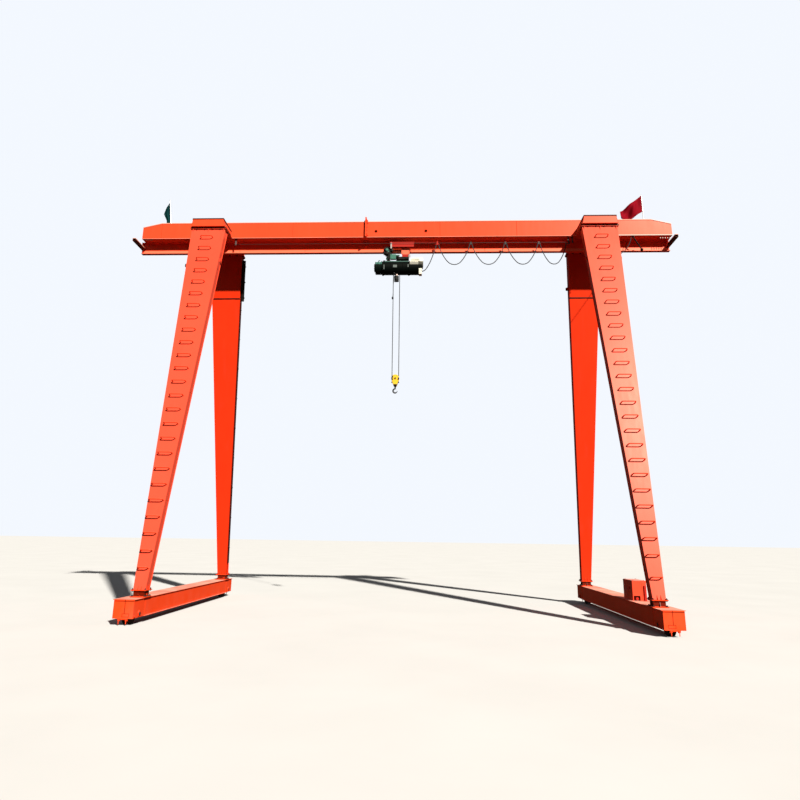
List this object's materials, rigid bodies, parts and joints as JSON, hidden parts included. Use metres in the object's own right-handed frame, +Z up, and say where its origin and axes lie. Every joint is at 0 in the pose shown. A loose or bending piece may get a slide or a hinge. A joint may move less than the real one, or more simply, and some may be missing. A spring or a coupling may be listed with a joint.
{
  "type": "gantry crane",
  "caption": "Box-girder gantry crane on leaning tapered legs and rail-wheel carriages, with a wire-rope hoist, hook and festoon cable under its running beam.",
  "frame": {"origin": "middle of the crane at the level of the wheel flanges' lowest points", "axes": "+X along the girder to the side with the festoon cable, +Y across the girder away from the side seen in the picture, +Z up"},
  "size_m": [16.7, 7.64, 12.645],
  "materials": {
    "crane_orange": "satin orange-red crane paint with weld seams, dust and rust streaks",
    "carriage_red": "dusty red paint",
    "cover_red": "gloss red paint",
    "wheel_steel": "dark worn steel",
    "pole_steel": "galvanised tube",
    "flag_cloth": "plain woven cloth, one dark green and one red",
    "wire_steel": "galvanised steel",
    "trolley_red": "dark red paint",
    "drum_dark": "dark green paint",
    "gear_green": "green paint",
    "motor_white": "off-white paint",
    "weight_dark": "dark cast iron",
    "rope_steel": "greased stranded wire rope",
    "block_yellow": "yellow paint with black sides",
    "hook_steel": "forged steel, dark",
    "cable_black": "black rubber sheath"
  },
  "bodies": {
    "frame": {"girder_box_left": "crane_orange", "girder_box_right": "crane_orange", "running_beam": "crane_orange", "running_flange": "crane_orange", "splice_flanges": "crane_orange", "end_stops": "crane_orange", "brackets": "crane_orange", "leg_left_front": "crane_orange", "leg_left_rear": "crane_orange", "leg_right_front": "crane_orange", "leg_right_rear": "crane_orange", "rungs_left": "crane_orange", "rungs_right": "crane_orange", "feet": "crane_orange", "carriage_left": "carriage_red", "carriage_right": "carriage_red", "drive_cover": "cover_red", "flagpoles": "pole_steel", "flags": "flag_cloth", "festoon_wire": "wire_steel", "cable_loop_1": "cable_black", "cable_loop_2": "cable_black", "cable_loop_3": "cable_black", "cable_loop_4": "cable_black", "supply_cable": "cable_black"},
    "trolley": {"trolley_frame": "trolley_red", "tow_arm": "trolley_red", "drum_casing": "drum_dark", "gear_case": "gear_green", "hoist_motor": "motor_white", "control_box": "motor_white", "limit_weight": "weight_dark", "ropes": "rope_steel", "hoist_cable": "cable_black"},
    "hook_block": {"hook_block": "block_yellow"},
    "hook": {"hook": "hook_steel"},
    "wheel_left_front": {"wheel_left_front": "wheel_steel"},
    "wheel_left_rear": {"wheel_left_rear": "wheel_steel"},
    "wheel_right_front": {"wheel_right_front": "wheel_steel"},
    "wheel_right_rear": {"wheel_right_rear": "wheel_steel"},
    "trolley_wheels_left": {"trolley_wheels_left": "wheel_steel"},
    "trolley_wheels_right": {"trolley_wheels_right": "wheel_steel"},
    "cable_carrier_1": {"cable_carrier_1": "wire_steel"},
    "cable_carrier_2": {"cable_carrier_2": "wire_steel"},
    "cable_carrier_3": {"cable_carrier_3": "wire_steel"}
  },
  "joints": [
    {"name": "trolley_travel", "type": "slide", "parent": "frame", "child": "trolley", "axis": [1, 0, 0], "range_m": [-3.1, 3.4], "deforming": ["cable_loop_1", "cable_loop_2", "cable_loop_3", "cable_loop_4"]},
    {"name": "hook_lift", "type": "slide", "parent": "trolley", "child": "hook_block", "axis": [0, 0, 1], "range_m": [-6, 3], "deforming": ["ropes"]},
    {"name": "hook_swivel", "type": "hinge", "parent": "hook_block", "child": "hook", "pos_m": [-0.17, 0, 6.36], "axis": [0, 0, 1], "continuous": true},
    {"name": "wheel_left_front_roll", "type": "hinge", "parent": "frame", "child": "wheel_left_front", "pos_m": [-6, -3.49, 0.225], "axis": [1, 0, 0], "continuous": true},
    {"name": "wheel_left_rear_roll", "type": "hinge", "parent": "frame", "child": "wheel_left_rear", "pos_m": [-6, 3.49, 0.225], "axis": [1, 0, 0], "continuous": true},
    {"name": "wheel_right_front_roll", "type": "hinge", "parent": "frame", "child": "wheel_right_front", "pos_m": [6, -3.49, 0.225], "axis": [1, 0, 0], "continuous": true},
    {"name": "wheel_right_rear_roll", "type": "hinge", "parent": "frame", "child": "wheel_right_rear", "pos_m": [6, 3.49, 0.225], "axis": [1, 0, 0], "continuous": true},
    {"name": "trolley_wheels_left_roll", "type": "hinge", "parent": "trolley", "child": "trolley_wheels_left", "pos_m": [-0.43, 0, 10.7663], "axis": [0, 1, 0], "range_deg": [-2733, 2998]},
    {"name": "trolley_wheels_right_roll", "type": "hinge", "parent": "trolley", "child": "trolley_wheels_right", "pos_m": [0.13, 0, 10.7663], "axis": [0, 1, 0], "range_deg": [-2733, 2998]},
    {"name": "cable_carrier_1_slide", "type": "slide", "parent": "frame", "child": "cable_carrier_1", "axis": [1, 0, 0], "range_m": [-2.298, 2.52]},
    {"name": "cable_carrier_2_slide", "type": "slide", "parent": "frame", "child": "cable_carrier_2", "axis": [1, 0, 0], "range_m": [-1.472, 1.615]},
    {"name": "cable_carrier_3_slide", "type": "slide", "parent": "frame", "child": "cable_carrier_3", "axis": [1, 0, 0], "range_m": [-0.677, 0.742]}
  ],
  "couplings": [
    {"joint": "trolley_wheels_left_roll", "follows": "trolley_travel", "rad_per_m": 15.385},
    {"joint": "trolley_wheels_right_roll", "follows": "trolley_travel", "rad_per_m": 15.385},
    {"joint": "cable_carrier_1_slide", "follows": "trolley_travel", "ratio": 0.741},
    {"joint": "cable_carrier_2_slide", "follows": "trolley_travel", "ratio": 0.4748},
    {"joint": "cable_carrier_3_slide", "follows": "trolley_travel", "ratio": 0.2181}
  ]
}
